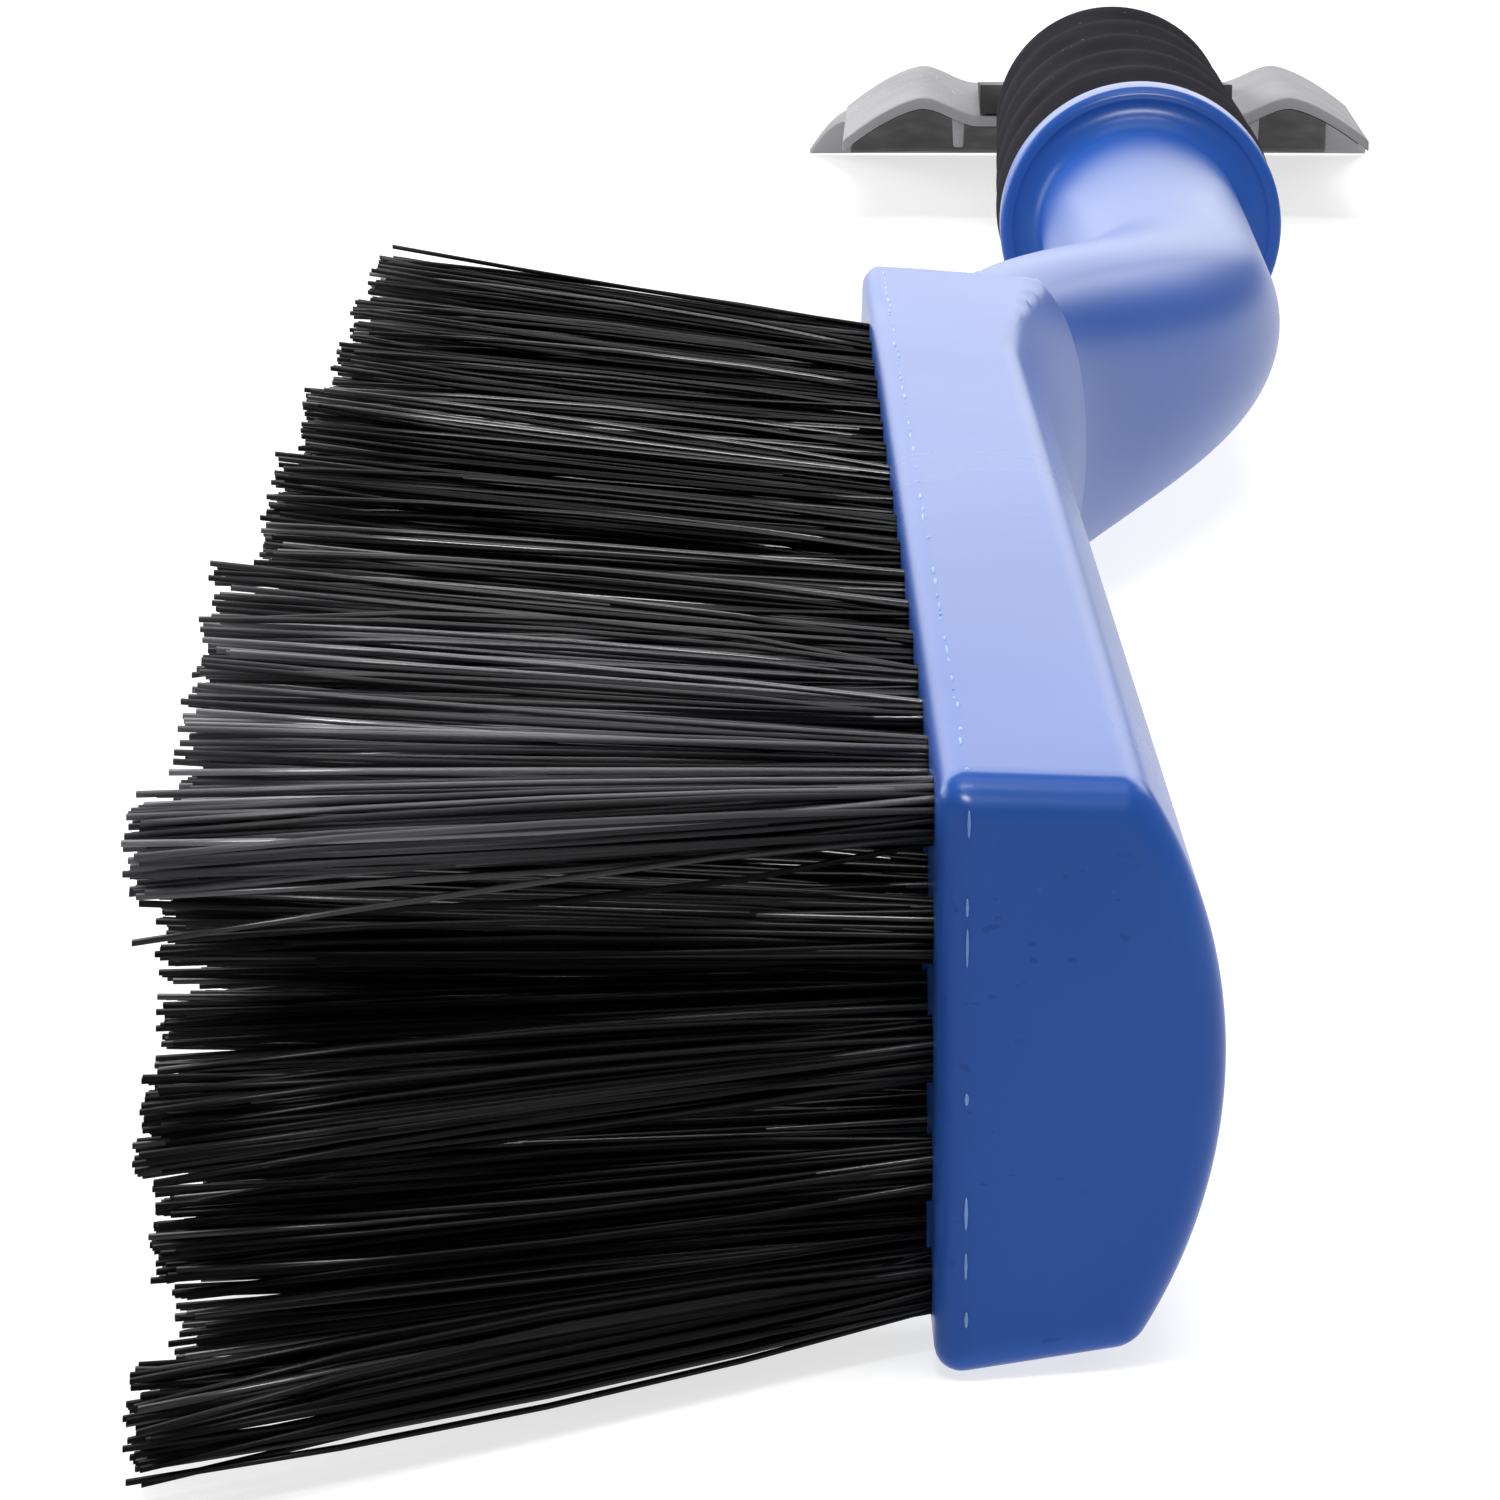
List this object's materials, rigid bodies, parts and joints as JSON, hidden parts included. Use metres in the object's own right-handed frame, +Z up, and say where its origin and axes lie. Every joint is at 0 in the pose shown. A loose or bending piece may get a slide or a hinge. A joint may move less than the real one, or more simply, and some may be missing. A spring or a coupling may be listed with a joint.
{
  "type": "snow brush with ice scraper",
  "caption": "Snow brush with a straight D-section head carrying rows of stiff bristles, an offset neck and collar, a soft swelled grip, and a wide gull-wing ice scraper at the far end.",
  "frame": {"origin": "on the ground under the middle of the brush's outline, as it lies on its side", "axes": "+Y along the brush from the bristle end to the scraper, +Z up, bristles pointing to -X"},
  "size_m": [0.1404, 0.6054, 0.0415],
  "materials": {
    "blue_plastic": "satin moulded",
    "bristle_nylon": "drawn filaments with a soft sheen",
    "grip_rubber": "matte",
    "socket_plastic": "fine moulded grain",
    "blade_plastic": "satin moulded",
    "steel": "zinc plated"
  },
  "bodies": {
    "root": {"brush_head": "blue_plastic", "core_tube": "steel", "shank_screw": "steel", "grip_sleeve": "grip_rubber", "scraper_socket": "socket_plastic", "socket_pin": "steel", "scraper_blade": "blade_plastic", "blade_rivet_left": "steel", "blade_rivet_right": "steel", "tuft_row1_01": "bristle_nylon", "tuft_row1_02": "bristle_nylon", "tuft_row1_03": "bristle_nylon", "tuft_row1_04": "bristle_nylon", "tuft_row1_05": "bristle_nylon", "tuft_row1_06": "bristle_nylon", "tuft_row1_07": "bristle_nylon", "tuft_row1_08": "bristle_nylon", "tuft_row1_09": "bristle_nylon", "tuft_row2_01": "bristle_nylon", "tuft_row2_02": "bristle_nylon", "tuft_row2_03": "bristle_nylon", "tuft_row2_04": "bristle_nylon", "tuft_row2_05": "bristle_nylon", "tuft_row2_06": "bristle_nylon", "tuft_row2_07": "bristle_nylon", "tuft_row2_08": "bristle_nylon", "tuft_row2_09": "bristle_nylon", "tuft_row3_01": "bristle_nylon", "tuft_row3_02": "bristle_nylon", "tuft_row3_03": "bristle_nylon", "tuft_row3_04": "bristle_nylon", "tuft_row3_05": "bristle_nylon", "tuft_row3_06": "bristle_nylon", "tuft_row3_07": "bristle_nylon", "tuft_row3_08": "bristle_nylon", "tuft_row3_09": "bristle_nylon", "tuft_row4_01": "bristle_nylon", "tuft_row4_02": "bristle_nylon", "tuft_row4_03": "bristle_nylon", "tuft_row4_04": "bristle_nylon", "tuft_row4_05": "bristle_nylon", "tuft_row4_06": "bristle_nylon", "tuft_row4_07": "bristle_nylon", "tuft_row4_08": "bristle_nylon", "tuft_row4_09": "bristle_nylon", "tuft_row5_01": "bristle_nylon", "tuft_row5_02": "bristle_nylon", "tuft_row5_03": "bristle_nylon", "tuft_row5_04": "bristle_nylon", "tuft_row5_05": "bristle_nylon", "tuft_row5_06": "bristle_nylon", "tuft_row5_07": "bristle_nylon", "tuft_row5_08": "bristle_nylon", "tuft_row5_09": "bristle_nylon"}
  },
  "joints": []
}
